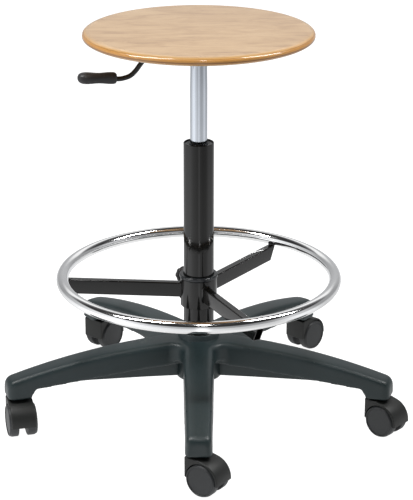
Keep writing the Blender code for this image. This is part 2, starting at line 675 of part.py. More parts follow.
def arm_rib():
    """The web down the middle of one arm, deepest at the hub."""
    half = RIB_THICKNESS / 2
    heel = STEM_CIRCLE - FOOT_HALF_LENGTH
    sections = []
    for r, low in ((HUB_RADIUS - ARM_WALL, HUB_BOTTOM_Z + RUN_GAP),
                   (heel * 0.65, FOOT_Z + SKIRT_RISE - 3 * MM), (heel + ARM_WALL, FOOT_Z + SKIRT_RISE)):
        high = arm_top(r) - ARM_WALL / 2
        sections.append([Vector((r, y, z)) for y, z in ((half, low), (half, high), (-half, high), (-half, low))])
    return lofted(sections)


def arm_angle(number):
    return math.tau * number / ARM_COUNT - math.pi / 2


def turned_to_arm(mesh, number):
    return moved(mesh, Matrix.Rotation(arm_angle(number), 4, "Z"))


def base_star(parent):
    """The moulded base: hub, five hollow arms with webs, and the casters' stem holes."""
    outline = [(0, HUB_BOTTOM_Z), (HUB_RADIUS, HUB_BOTTOM_Z), (HUB_RADIUS, ROOT_Z - 2 * MM),
               (HUB_RIM_RADIUS + 2 * MM, ROOT_Z), (HUB_RIM_RADIUS, HUB_TOP_Z), (0, HUB_TOP_Z)]
    made = add("base_star", turned(outline, 30), "nylon", parent)
    for number in range(ARM_COUNT):
        fuse(made, turned_to_arm(arm_solid(), number))
    cut(made, merged([turned_to_arm(arm_hollow(), number) for number in range(ARM_COUNT)]))
    fuse(made, merged([turned_to_arm(arm_rib(), number) for number in range(ARM_COUNT)]))
    stems = []
    for number in range(ARM_COUNT):
        hole = disc(STEM_RADIUS + GAP, FOOT_Z - RUN_GAP, FOOT_Z + STEM_IN_ARM + RUN_GAP, 12)
        stems.append(turned_to_arm(shifted(hole, x=STEM_CIRCLE), number))
    cut(made, merged(stems + [disc(HUB_BORE, HUB_BOTTOM_Z - RUN_GAP, HUB_TOP_Z + RUN_GAP, 30)]))


def hub_sleeve(parent):
    """The steel sleeve in the hub that holds the column's taper."""
    low = COLUMN_BOTTOM_Z + 2 * MM
    high = HUB_TOP_Z - 2 * MM
    outer = HUB_BORE - GAP
    taper_z = min(high - RUN_GAP, COLUMN_BOTTOM_Z + COLUMN_TAPER_LENGTH)
    outline = [(column_radius_at(low) + GAP, low), (outer, low), (outer, high),
               (column_radius_at(high) + GAP, high), (column_radius_at(taper_z) + GAP, taper_z)]
    add("hub_sleeve", turned(outline, 30), "zinc_steel", parent)


# Casters

def hood_outline():
    """Side view of a caster's body about its stem's foot: +X is the trail direction."""
    front = CASTER_TRAIL - HOOD_RADIUS
    low = WHEEL_RADIUS - WEB_BELOW_AXLE
    back = arc(CASTER_TRAIL, WHEEL_RADIUS, HOOD_RADIUS, -5, 100, 8)
    nose = arc(front + 5 * MM, WHEEL_RADIUS + HOOD_RADIUS - 6 * MM, 5 * MM, 90, 180, 2)
    web = [(CASTER_TRAIL - WEB_BELOW_AXLE, low), (CASTER_TRAIL + WEB_BELOW_AXLE, low)]
    return back + nose + [(front, WHEEL_RADIUS - HOOD_WALL)] + web


def caster(place, parent, number, trail):
    """A hooded twin-wheel caster that swivels on its stem."""
    angle = arm_angle(number)
    stem_place = (STEM_CIRCLE * math.cos(angle), STEM_CIRCLE * math.sin(angle), 0)
    frame = empty(f"caster_{place}_swivel", parent, stem_place, trail)
    half = WHEEL_INNER + WHEEL_WIDTH - 3 * MM
    neck_top = WHEEL_RADIUS + HOOD_RADIUS + CASTER_NECK_HEIGHT
    body = add(f"caster_{place}_body", along_y(extruded(hood_outline(), -half, half)), "black_plastic", frame)
    fuse(body, disc(CASTER_NECK_RADIUS, neck_top - CASTER_NECK_HEIGHT - 6 * MM, neck_top, 14))
    wells = []
    for side in (-1, 1):
        well = disc(WHEEL_RADIUS + RUN_GAP, WEB_HALF, half + RUN_GAP, 20)
        if side < 0:
            well = moved(well, Matrix.Rotation(math.pi, 4, "X"))
        wells.append(shifted(along_y(well), CASTER_TRAIL, 0, WHEEL_RADIUS))
    cut(body, merged(wells))
    axle_hole = shifted(along_y(disc(AXLE_RADIUS + GAP, -half, half, 10)), CASTER_TRAIL, 0, WHEEL_RADIUS)
    cut(body, axle_hole)
    cut(body, disc(STEM_RADIUS + GAP, neck_top - STEM_IN_BODY, neck_top + RUN_GAP, 12))

    stem_low = neck_top - STEM_IN_BODY + RUN_GAP
    stem_high = FOOT_Z + STEM_IN_ARM
    groove_z = stem_high - 8 * MM
    groove = STEM_RADIUS - 1 * MM
    outline = [(0, stem_low), (STEM_RADIUS, stem_low), (STEM_RADIUS, groove_z), (groove, groove_z),
               (groove, groove_z + 3 * MM), (STEM_RADIUS, groove_z + 3 * MM),
               (STEM_RADIUS, stem_high - 2 * MM), (STEM_RADIUS - 2 * MM, stem_high), (0, stem_high)]
    add(f"caster_{place}_stem", turned(outline, 10), "zinc_steel", frame)

    wheels = empty(f"caster_{place}_axis", frame, (CASTER_TRAIL, 0, WHEEL_RADIUS))
    cap = WHEEL_INNER + WHEEL_WIDTH - 3 * MM
    add(f"caster_{place}_axle", along_y(disc(AXLE_RADIUS, -cap, cap, 10)), "zinc_steel", wheels)
    for name, side in (("wheel_a", 1), ("wheel_b", -1)):
        wheel = along_y(wheel_solid())
        if side > 0:
            wheel = moved(wheel, Matrix.Rotation(math.pi, 4, "Z"))
        add(f"caster_{place}_{name}", wheel, "tread", wheels)


def wheel_solid():
    """One wheel about Z, from its inner face to its dished outer face. A flat of its tread faces down."""
    rim = WHEEL_RADIUS / math.cos(math.pi / WHEEL_SIDES)
    inner = WHEEL_INNER
    outer = WHEEL_INNER + WHEEL_WIDTH
    bore = AXLE_RADIUS + GAP
    floor = outer - 3 * MM + GAP
    edge = 3 * MM
    outline = [(0, floor), (bore, floor), (bore, inner), (rim, inner), (rim, outer - edge),
               (rim - edge, outer), (0, outer - 1 * MM)]
    return turned(outline, WHEEL_SIDES, math.pi / WHEEL_SIDES)


def footprint_centre():
    """Middle of the casters' footprint, seen from the column's axis."""
    half = WHEEL_INNER + WHEEL_WIDTH
    corners = [(CASTER_TRAIL + along, across) for along in (-WHEEL_RADIUS, WHEEL_RADIUS)
               for across in (-half, half)]
    xs, ys = [], []
    for number, trail in CASTERS.values():
        stem = Vector((math.cos(arm_angle(number)), math.sin(arm_angle(number)))) * STEM_CIRCLE
        on = Vector((math.cos(trail), math.sin(trail)))
        across = Vector((-on.y, on.x))
        for reach, side in corners:
            corner = stem + on * reach + across * side
            xs.append(corner.x)
            ys.append(corner.y)
    return (min(xs) + max(xs)) / 2, (min(ys) + max(ys)) / 2


def build():
    for item in list(bpy.data.objects):
        bpy.data.objects.remove(item)
    x, y = footprint_centre()
    stool = empty("stool", None, (-x, -y, 0))
    base_star(stool)
    hub_sleeve(stool)
    column(stool)
    spindle = empty("spindle", stool)
    thrust_bearing(stool, spindle)
    lift = empty("lift", spindle)
    gas_cylinder(lift)
    release_button(lift)
    head = empty("seat_head", lift, (0, 0, 0), LEVER_ANGLE)
    taper_socket(head)
    mechanism_channel(head)
    seat_plate(head)
    seat_screws(head)
    lever(head)
    seat(head)
    height = empty("ring_height", stool)
    ring_liner(height)
    turn = empty("ring_turn", height)
    collar(turn)
    foot_ring(turn)
    for number in range(SPOKE_COUNT):
        spoke(f"spoke_{number + 1}", turn, SPOKE_ANGLE - math.tau * number / SPOKE_COUNT)
    clamp_knob(turn)
    for place, (number, trail) in CASTERS.items():
        caster(place, stool, number, trail)


build()
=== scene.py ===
"""Adjustable swivel stool: its visible pieces, their finishes, the studio round it and the camera."""
import json
import math

import bmesh
import bpy
from mathutils import Matrix, Vector


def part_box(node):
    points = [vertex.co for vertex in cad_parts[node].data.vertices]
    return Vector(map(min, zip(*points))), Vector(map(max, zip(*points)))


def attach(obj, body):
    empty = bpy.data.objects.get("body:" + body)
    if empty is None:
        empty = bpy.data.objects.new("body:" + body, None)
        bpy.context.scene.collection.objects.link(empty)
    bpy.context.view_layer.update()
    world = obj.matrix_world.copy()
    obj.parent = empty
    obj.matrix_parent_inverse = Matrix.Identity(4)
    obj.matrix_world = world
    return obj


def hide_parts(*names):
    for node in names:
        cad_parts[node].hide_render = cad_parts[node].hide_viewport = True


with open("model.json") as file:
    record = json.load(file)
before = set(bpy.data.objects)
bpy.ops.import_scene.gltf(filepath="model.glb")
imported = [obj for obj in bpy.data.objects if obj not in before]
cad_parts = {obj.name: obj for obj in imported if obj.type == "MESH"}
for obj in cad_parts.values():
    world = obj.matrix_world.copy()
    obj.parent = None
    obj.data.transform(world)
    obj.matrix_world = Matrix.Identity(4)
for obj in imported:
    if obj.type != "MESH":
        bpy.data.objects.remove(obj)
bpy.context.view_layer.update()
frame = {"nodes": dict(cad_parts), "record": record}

MM = 0.001
ON_AXIS = 0.01 * MM       # a smaller radius is a point on the axis
JOINTS = {joint["name"]: joint for joint in frame["record"]["behaviour"]["joints"]}


def spot(joint_name):
    """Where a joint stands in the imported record."""
    return Vector(JOINTS[joint_name]["pos_m"])


def low(node):
    """The lowest corner of a node's box."""
    return Vector(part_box(node)[0])


def high(node):
    """The highest corner of a node's box."""
    return Vector(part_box(node)[1])


def reach_of(node):
    """The outer radius of a round node, from its box."""
    return (high(node).x - low(node).x) / 2


COLUMN = Vector((spot("seat_swivel").x, spot("seat_swivel").y, 0))


# Shapes

def arc(x, y, radius, start, end, steps):
    """Points on an arc from one angle to another, in degrees, with both ends."""
    angles = [math.radians(start + (end - start) * i / steps) for i in range(steps + 1)]
    return [(x + radius * math.cos(a), y + radius * math.sin(a)) for a in angles]


def rounded(corners, steps=5):
    """A closed outline of (x, y, radius) corners with each corner turned into an arc of its radius."""
    points = []
    for i, (x, y, radius) in enumerate(corners):
        here = Vector((x, y))
        if not radius:
            points.append((x, y))
            continue
        back = (Vector(corners[i - 1][:2]) - here).normalized()
        on = (Vector(corners[(i + 1) % len(corners)][:2]) - here).normalized()
        half = back.angle(on) / 2
        centre = here + (back + on).normalized() * (radius / math.sin(half))
        first = here + back * (radius / math.tan(half)) - centre
        last = here + on * (radius / math.tan(half)) - centre
        start = math.atan2(first.y, first.x)
        sweep = (math.atan2(last.y, last.x) - start + math.pi) % math.tau - math.pi
        points += arc(centre.x, centre.y, radius, math.degrees(start), math.degrees(start + sweep), steps)
    return points


def turned(outline, sides=96):
    """A body of revolution about Z from (radius, height) points, closed on the axis or on itself."""
    mesh = bmesh.new()
    rings = []
    for radius, height in outline:
        if radius < ON_AXIS:
            rings.append([mesh.verts.new((0, 0, height))])
        else:
            rings.append([mesh.verts.new((x, y, height))
                          for x, y in arc(0, 0, radius, 0, 360 - 360 / sides, sides - 1)])
    onward = rings[1:] + ([rings[0]] if outline[0][0] > ON_AXIS else [])
    for near, far in zip(rings, onward):
        for i in range(sides):
            j = (i + 1) % sides
            ring = [near[i % len(near)], near[j % len(near)], far[j % len(far)], far[i % len(far)]]
            ring = list(dict.fromkeys(ring))
            if len(ring) > 2:
                mesh.faces.new(ring)
    return mesh


def lofted(sections, closed=False):
    """A skin over rings of points that all have the same count."""
    mesh = bmesh.new()
    rows = [[mesh.verts.new(point) for point in section] for section in sections]
    onward = rows[1:] + (rows[:1] if closed else [])
    for near, far in zip(rows, onward):
        for i in range(len(near)):
            j = (i + 1) % len(near)
            mesh.faces.new((near[i], near[j], far[j], far[i]))
    if not closed:
        mesh.faces.new(rows[0])
        mesh.faces.new(rows[-1])
    return mesh


def swept(path, radius, sides=16, closed=False):
    """A round bar along a path of points; the radius is one number or one for each point."""
    count = len(path)
    radii = radius if isinstance(radius, list) else [radius] * count
    sections = []
    across = Vector((0, 0, 1))
    for i, point in enumerate(path):
        ahead = path[(i + 1) % count] if closed or i + 1 < count else point
        behind = path[i - 1] if closed or i else point
        on = (ahead - behind).normalized()
        if abs(across.dot(on)) > 0.9:           # the path runs nearly along the side direction
            across = Vector((1, 0, 0)) if abs(on.x) < 0.9 else Vector((0, 1, 0))
        across = (across - on * across.dot(on)).normalized()
        up = on.cross(across)
        sections.append([point + across * x + up * y
                         for x, y in arc(0, 0, radii[i], 0, 360 - 360 / sides, sides - 1)])
    return lofted(sections, closed)


def smooth_path(corners, steps=10):
    """Points on a soft curve through the corners."""
    ends = [corners[0] * 2 - corners[1]] + corners + [corners[-1] * 2 - corners[-2]]
    points = []
    for a, b, c, d in zip(ends, ends[1:], ends[2:], ends[3:]):
        for k in range(steps):
            t = k / steps
            points.append(0.5 * (2 * b + (c - a) * t + (2 * a - 5 * b + 4 * c - d) * t ** 2
                                 + (3 * b - a - 3 * c + d) * t ** 3))
    return points + [corners[-1]]


def moved(mesh, *matrices):
    """The mesh after each matrix in turn."""
    for matrix in matrices:
        mesh.transform(matrix)
    return mesh


def shift(x=0.0, y=0.0, z=0.0):
    return Matrix.Translation((x, y, z))


def turn(degrees, axis="Z"):
    return Matrix.Rotation(math.radians(degrees), 4, axis)


ON_COLUMN = shift(COLUMN.x, COLUMN.y)      # takes what is made round the origin to the column's axis


def faced_out(mesh):
    """The mesh with its faces turned outward."""
    mesh.normal_update()
    bmesh.ops.recalc_face_normals(mesh, faces=mesh.faces[:])
    return mesh


def absorbed(whole, mesh):
    """A mesh with another one added to it."""
    data = bpy.data.meshes.new("part")
    mesh.to_mesh(data)
    whole.from_mesh(data)
    bpy.data.meshes.remove(data)
    return whole


def joined(meshes):
    """Several meshes held as one."""
    whole = bmesh.new()
    for mesh in meshes:
        absorbed(whole, faced_out(mesh))
    return whole


def held(name, mesh):
    """The mesh as an object of its own."""
    data = bpy.data.meshes.new(name)
    mesh.to_mesh(data)
    made = bpy.data.objects.new(name, data)
    bpy.context.scene.collection.objects.link(made)
    return made


def lifted(thing):
    """An object's mesh, with the object itself taken away."""
    mesh = bmesh.new()
    mesh.from_mesh(thing.data)
    bpy.data.objects.remove(thing)
    return mesh


def settled(thing):
    """Applies an object's modifiers to its mesh."""
    graph = bpy.context.evaluated_depsgraph_get()
    fresh = bpy.data.meshes.new_from_object(thing.evaluated_get(graph))
    thing.modifiers.clear()
    thing.data = fresh


def cut(thing, mesh):
    """Takes a mesh's space out of an object."""
    tool = held("tool", faced_out(mesh))
    change = thing.modifiers.new("cut", "BOOLEAN")
    change.operation = "DIFFERENCE"
    change.solver = "EXACT"
    change.object = tool
    settled(thing)
    bpy.data.objects.remove(tool)


def finished(thing, finish, body, stands_for, sharp=38):
    """Gives an object its finish and puts it on its CAD body, in place of the CAD nodes it stands for.

    Edges that bend by more than the sharp angle, in degrees, stay crisp.
    """
    thing.data.shade_smooth()
    thing.data.set_sharp_from_angle(angle=math.radians(sharp))
    thing.data.materials.clear()
    thing.data.materials.append(finish.material)
    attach(thing, body)
    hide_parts(*stands_for)


def piece(name, mesh, finish, body, stands_for, sharp=38):
    """A mesh made into a finished object on its CAD body."""
    finished(held(name, faced_out(mesh)), finish, body, stands_for, sharp)


# Finishes

class Wire:
    """A socket of a node tree, so that its maths reads as Python."""

    def __init__(self, nodes, socket):
        self.nodes = nodes
        self.socket = socket

    def maths(self, operation, first, second=0.0):
        return self.nodes.add("ShaderNodeMath", {"operation": operation}, {0: first, 1: second})

    def __add__(self, other):
        return self.maths("ADD", self, other)

    def __sub__(self, other):
        return self.maths("SUBTRACT", self, other)

    def __rsub__(self, other):
        return self.maths("SUBTRACT", other, self)

    def __mul__(self, other):
        return self.maths("MULTIPLY", self, other)

    def __truediv__(self, other):
        return self.maths("DIVIDE", self, other)

    def __pow__(self, other):
        return self.maths("POWER", self, other)

    __radd__ = __add__
    __rmul__ = __mul__


class Nodes:
    """A node tree with one way to add a node."""

    def __init__(self, tree):
        self.tree = tree

    def add(self, kind, settings, inputs, output=0):
        """Adds a node, with its settings first and then the values or links of its sockets."""
        made = self.tree.nodes.new(kind)
        for key, value in settings.items():
            if key == "stops":
                while len(made.color_ramp.elements) < len(value):
                    made.color_ramp.elements.new(0.5)
                for stop, (position, colour) in zip(made.color_ramp.elements, value):
                    stop.position = position
                    stop.color = (*colour, 1)
            else:
                setattr(made, key, value)
        for key, value in inputs.items():
            if isinstance(value, Wire):
                self.tree.links.new(value.socket, made.inputs[key])
            else:
                made.inputs[key].default_value = value
        return Wire(self, made.outputs[output])

    def vector(self, operation, first, second):
        return self.add("ShaderNodeVectorMath", {"operation": operation}, {0: first, 1: second})

    def between(self, value, start, end):
        """0 below start, 1 above end, and soft between them."""
        return self.add("ShaderNodeMapRange", {"interpolation_type": "SMOOTHSTEP"},
                        {"Value": value, "From Min": start, "From Max": end})

    def blend(self, share, first, second):
        """One colour turning into another."""
        return self.add("ShaderNodeMix", {"data_type": "RGBA"}, {0: share, 6: first, 7: second}, 2)

    def noise(self, place, scale, detail=3.0, roughness=0.5, distortion=0.0):
        return self.add("ShaderNodeTexNoise", {}, {"Vector": place, "Scale": scale, "Detail": detail,
                                                   "Roughness": roughness, "Distortion": distortion})

    def ramp(self, share, stops):
        """Colours laid out along a share from 0 to 1."""
        return self.add("ShaderNodeValToRGB", {"stops": stops}, {0: share})

    def axes_of(self, place):
        """The three parts of a place."""
        parts = self.add("ShaderNodeSeparateXYZ", {}, {0: place}).socket.node.outputs
        return [Wire(self, part) for part in parts]


class Finish(Nodes):
    """A surface finish on a Principled shader: constants on its sockets, what varies wired to nodes."""

    def __init__(self, name, slot, constants):
        self.material = bpy.data.materials.new(name)
        self.material.use_nodes = True
        super().__init__(self.material.node_tree)
        self.slot = slot
        self.shader = self.tree.nodes["Principled BSDF"]
        for key, value in constants.items():
            self.shader.inputs[key].default_value = value
        self.place = self.add("ShaderNodeTexCoord", {}, {}, "Object")

    def stretched(self, x, y, z):
        """The place on the object, scaled along each axis."""
        return self.vector("MULTIPLY", self.place, (x, y, z))

    def wire(self, **links):
        for key, value in links.items():
            self.tree.links.new(value.socket, self.shader.inputs[key.replace("_", " ")])

    def bump(self, height, depth, strength=1.0):
        """Relief: the height runs from 0 to 1 and stands for a depth in metres."""
        self.wire(Normal=self.add("ShaderNodeBump", {}, {"Strength": strength, "Distance": depth,
                                                        "Height": height}))


def rgb(red, green, blue):
    return (red, green, blue, 1.0)


def lacquered_ply():
    """Clear-lacquered maple plywood: figured face veneer, and plies round the rim."""
    made = Finish("lacquered maple plywood", "plywood",
                  {"Coat Weight": 0.75, "Coat Roughness": 0.05, "IOR": 1.42})
    board = made.vector("SUBTRACT", made.place, tuple(COLUMN + Vector((0, 0, low("seat").z))))

    def marks(along, across, through, detail, distortion=0.0):
        """Noise drawn out along the grain, which runs along X."""
        stretched = made.vector("MULTIPLY", board, (along, across, through))
        return made.noise(stretched, 1.0, detail, 0.6, distortion)

    figure = marks(7, 24, 9, 4.0, 1.3)
    streak = marks(13, 170, 30, 4.0, 0.5)
    mottle = marks(21, 40, 9, 3.0, 2.4)
    pores = marks(55, 900, 300, 2.0)
    veneer = made.ramp(figure * 0.55 + streak * 0.27 + mottle * 0.18,
                       [(0.36, (0.335, 0.195, 0.090)), (0.46, (0.455, 0.285, 0.140)),
                        (0.54, (0.515, 0.335, 0.172)), (0.66, (0.560, 0.375, 0.205))])
    veneer = made.blend(made.between(pores, 0.54, 0.72) * 0.30, veneer, rgb(0.30, 0.17, 0.08))
    veneer = made.blend(made.between(mottle, 0.58, 0.74) * 0.38, veneer, rgb(0.36, 0.205, 0.095))
    height = made.axes_of(board)[2] / (high("seat").z - low("seat").z) + (streak - 0.5) * 0.05
    plies = made.ramp(height, [(0.00, (0.46, 0.26, 0.11)), (0.12, (0.56, 0.31, 0.11)),
                               (0.36, (0.56, 0.29, 0.09)), (0.41, (0.26, 0.11, 0.025)),
                               (0.49, (0.27, 0.11, 0.025)), (0.54, (0.58, 0.27, 0.06)),
                               (0.76, (0.60, 0.28, 0.065)), (0.80, (0.34, 0.16, 0.05)),
                               (0.84, (0.58, 0.31, 0.09)), (0.94, (0.54, 0.34, 0.16))])
    grain = made.noise(made.stretched(40, 40, 900), 1.0, 3.0, 0.6)
    plies = made.blend(0.16, plies, rgb(0.20, 0.12, 0.02))            # an amber cast from the lacquer
    plies = made.blend(made.between(grain, 0.45, 0.75) * 0.35, plies, rgb(0.32, 0.13, 0.03))
    on_rim = 1.0 - made.between(height, 0.91, 0.965)            # the veneer starts on the rolled edge
    made.wire(Base_Color=made.blend(on_rim, veneer, plies), Roughness=streak * 0.10 + 0.28)
    made.bump(pores * 0.6 + streak * 0.4, 0.05 * MM, 0.35)
    return made


def chrome():
    """Polished chrome on tube: bright, with a faint drawn haze."""
    made = Finish("polished chrome", "chrome", {"Metallic": 1.0})
    haze = made.noise(made.place, 22.0, 4.0, 0.6)
    specks = made.noise(made.place, 900.0, 2.0, 0.5)
    made.wire(Roughness=haze * 0.05 + specks * 0.02 + 0.07,
              Base_Color=made.blend(haze, rgb(0.86, 0.865, 0.87), rgb(0.94, 0.94, 0.94)))
    made.bump(haze, 0.02 * MM, 0.10)
    return made


def satin_steel():
    """Ground and polished cylinder steel with fine marks along its length."""
    made = Finish("satin cylinder steel", "satin_steel", {"Metallic": 1.0})
    marks = made.noise(made.stretched(1500, 1500, 14), 1.0, 3.0, 0.6)
    clouds = made.noise(made.place, 35.0, 3.0, 0.5)
    made.wire(Roughness=marks * 0.07 + clouds * 0.04 + 0.07,
              Base_Color=made.blend(marks * 0.6 + clouds * 0.4, rgb(0.50, 0.54, 0.59),
                                    rgb(0.66, 0.69, 0.74)))
    made.bump(marks, 0.02 * MM, 0.25)
    return made


def black_enamel():
    """Gloss black baked enamel with a slight orange peel."""
    made = Finish("gloss black enamel", "black_steel",
                  {"Coat Weight": 0.2, "Coat Roughness": 0.03, "IOR": 1.42})
    peel = made.noise(made.place, 420.0, 2.0, 0.5)
    clouds = made.noise(made.place, 18.0, 3.0, 0.5)
    made.wire(Roughness=clouds * 0.07 + 0.07,
              Base_Color=made.blend(clouds, rgb(0.002, 0.002, 0.0017), rgb(0.006, 0.0055, 0.0045)))
    made.bump(peel, 0.03 * MM, 0.16)
    return made


def nylon():
    """Glass-filled nylon with a fine moulded texture and faint flow marks."""
    made = Finish("glass filled nylon", "nylon", {"IOR": 1.5})
    flow = made.noise(made.stretched(9, 9, 26), 1.0, 4.0, 0.55, 0.6)
    texture = made.noise(made.place, 1300.0, 2.0, 0.6)
    made.wire(Roughness=flow * 0.14 + texture * 0.06 + 0.33,
              Base_Color=made.blend(flow, rgb(0.008, 0.017, 0.017), rgb(0.015, 0.029, 0.033)))
    made.bump(texture * 0.7 + flow * 0.3, 0.05 * MM, 0.30)
    return made


def satin_plastic(name, slot, dark, light, roughness):
    """Moulded plastic with a fine grain, clouded between a dark and a light shade."""
    made = Finish(name, slot, {"IOR": 1.48})
    grain = made.noise(made.place, 1500.0, 2.0, 0.6)
    clouds = made.noise(made.place, 45.0, 3.0, 0.5)
    made.wire(Roughness=clouds * 0.10 + grain * 0.05 + roughness,
              Base_Color=made.blend(clouds, rgb(*dark), rgb(*light)))
    made.bump(grain, 0.04 * MM, 0.25)
    return made


def plated_zinc():
    """Bright zinc plating with a faint yellow and blue cast."""
    made = Finish("bright zinc plate", "zinc_steel", {"Metallic": 1.0})
    clouds = made.noise(made.place, 120.0, 4.0, 0.6)
    made.wire(Roughness=clouds * 0.2 + 0.24,
              Base_Color=made.blend(clouds, rgb(0.58, 0.60, 0.62), rgb(0.70, 0.68, 0.60)))
    made.bump(clouds, 0.03 * MM, 0.2)
    return made


PLY = lacquered_ply()
CHROME = chrome()
SATIN = satin_steel()
ENAMEL = black_enamel()
NYLON = nylon()
GRIP = satin_plastic("soft black grip plastic", "black_plastic", (0.012, 0.011, 0.012),
                     (0.024, 0.022, 0.022), 0.38)
GLOSS = satin_plastic("gloss black liner plastic", "black_plastic", (0.010, 0.012, 0.014),
                      (0.017, 0.020, 0.023), 0.14)
HOOD = satin_plastic("moulded caster plastic", "black_plastic", (0.006, 0.007, 0.006),
                     (0.012, 0.013, 0.012), 0.42)
WHEEL = satin_plastic("caster wheel plastic", "tread", (0.018, 0.020, 0.021),
                      (0.030, 0.032, 0.034), 0.40)
ACETAL = satin_plastic("natural acetal", "acetal", (0.52, 0.50, 0.44), (0.62, 0.60, 0.54), 0.35)
RUBBER = satin_plastic("moulded rubber", "rubber", (0.016, 0.016, 0.016), (0.028, 0.028, 0.028), 0.65)
ZINC = plated_zinc()

# The finish of each CAD material, for the parts that stay as they are
KEPT = {"plywood": PLY, "chrome": CHROME, "satin_steel": SATIN, "black_steel": ENAMEL, "nylon": NYLON,
        "black_plastic": GRIP, "tread": WHEEL, "acetal": ACETAL, "rubber": RUBBER, "zinc_steel": ZINC}


# Seat

ROLL_IN, ROLL_DOWN = 13 * MM, 7 * MM        # how far the edge rolls over from the face
EASE_IN, EASE_UP = 20 * MM, 7 * MM          # how far it is eased from the underside
EDGE_STEPS = 14

LEVER_ROD_RADIUS = 4 * MM
PIVOT_BAR_RADIUS = 4.8 * MM
PIVOT_BAR_HALF = 29 * MM
GRIP_START = 135 * MM         # from the column's axis, along the lever
GRIP_LENGTH = 63 * MM
GRIP_DROP = 42.6 * MM         # below the pivot
GRIP_TILT = -3.5
GRIP_SQUARENESS = 0.86        # 1 gives an oval section, and less a squarer one


def seat_board():
    """The round seat board: its face rolls over into a narrow edge, and its underside is eased."""
    bottom, top = low("seat").z, high("seat").z
    radius = reach_of("seat")
    over = [(radius + ROLL_IN * (x - 1), top + ROLL_DOWN * (z - 1))
            for x, z in arc(0, 0, 1, 90, 0, EDGE_STEPS)]
    under = [(radius + EASE_IN * (x - 1), bottom + EASE_UP * (z + 1))
             for x, z in arc(0, 0, 1, 0, -90, EDGE_STEPS)]
    outline = [(0, top)] + over + under + [(0, bottom)]
    board = turned(outline, sides=160)
    piece("seat_board", moved(board, ON_COLUMN), PLY, "seat_head", ["seat"])


def seat_lever():
    """The bent lever rod and its waisted grip."""
    pivot = spot("lever_pivot")
    outward = (pivot - COLUMN - Vector((0, 0, pivot.z))).normalized()
    bearing = math.degrees(math.atan2(outward.y, outward.x))
    stand = ON_COLUMN @ turn(bearing)
    level = pivot.z
    bends = [(22, 0), (60, 0), (74, -1.5), (84, -9), (95, -21.5), (104, -33), (113, -40.5),
             (124, -43.7), (134, -44.2), (156, -42.2)]
    path = smooth_path([Vector((x * MM, 0, level + z * MM)) for x, z in bends], steps=6)
    rod = swept(path, LEVER_ROD_RADIUS, sides=20)
    outline = rounded([(0, -PIVOT_BAR_HALF, 0), (PIVOT_BAR_RADIUS, -PIVOT_BAR_HALF, 1 * MM),
                       (PIVOT_BAR_RADIUS, PIVOT_BAR_HALF, 1 * MM), (0, PIVOT_BAR_HALF, 0)], steps=3)
    bar = moved(turned(outline, sides=24), turn(90, "X"), shift((pivot - COLUMN).xy.length, 0, level))
    piece("lever_bar", moved(joined([rod, bar]), stand), ENAMEL, "lever", ["lever_rod"])

    # Each station of the grip: its share of the length, its half width and its half height, in mm
    stations = [(0.0, 5.2, 5.6), (0.015, 7.6, 8.0), (0.05, 9.0, 9.4), (0.14, 9.9, 9.7), (0.28, 9.8, 9.1),
                (0.40, 10.0, 8.2), (0.52, 10.8, 8.1), (0.66, 12.2, 9.0), (0.80, 12.8, 9.4),
                (0.89, 12.0, 8.7), (0.955, 9.6, 6.9), (0.985, 6.6, 4.6), (1.0, 2.6, 1.8)]
    sections = []
    for share, wide, tall in stations:
        ring = []
        for c, s in arc(0, 0, 1, 0, 360 - 360 / 28, 27):
            y = math.copysign(abs(c) ** GRIP_SQUARENESS, c) * wide * MM
            z = math.copysign(abs(s) ** GRIP_SQUARENESS, s) * tall * MM
            ring.append(Vector((GRIP_LENGTH * share, y, z)))
        sections.append(ring)
    shape = moved(lofted(sections), turn(GRIP_TILT, "Y"), shift(GRIP_START, 0, level - GRIP_DROP), stand)
    grip = held("lever_handle", faced_out(shape))
    soft = grip.modifiers.new("soft", "SUBSURF")
    soft.levels = soft.render_levels = 1
    settled(grip)
    finished(grip, GRIP, "lever", ["lever_grip"], sharp=60)


def under_seat():
    """The socket that holds the cylinder's taper; the plate and channel keep their CAD shapes, eased."""
    bottom, top = low("taper_socket").z, high("taper_socket").z
    outer = reach_of("taper_socket")
    mouth, throat = 14.3 * MM, 13.8 * MM
    wall = rounded([(mouth, bottom, 0.6 * MM), (outer, bottom, 1.2 * MM), (outer, top, 1 * MM),
                    (throat, top, 0.5 * MM)], steps=3)
    socket = turned(wall, sides=64)
    piece("cone_socket", moved(socket, ON_COLUMN), ENAMEL, "seat_head", ["taper_socket"])
    for name in ("seat_plate", "mechanism_channel"):
        ease = frame["nodes"][name].modifiers.new("eased edges", "BEVEL")
        ease.width = 0.5 * MM
        ease.segments = 2


# Gas lift

def lift_cylinder():
    """The polished cylinder, tapered where the seat's socket grips it and bored for its button."""
    bottom, top = low("gas_cylinder").z, high("gas_cylinder").z
    radius = reach_of("gas_cylinder")
    wall, taper, cap, button = 2 * MM, 55 * MM, 6 * MM, 4.2 * MM
    skin = rounded([(radius - wall, bottom, 0), (radius, bottom, 1 * MM), (radius, top - taper, 0),
                    (radius - 0.8 * MM, top, 1 * MM), (button, top, 0), (button, top - cap, 0),
                    (radius - wall, top - cap, 0)], steps=4)
    piece("lift_cylinder", moved(turned(skin), ON_COLUMN), SATIN, "seat_head", ["gas_cylinder"])


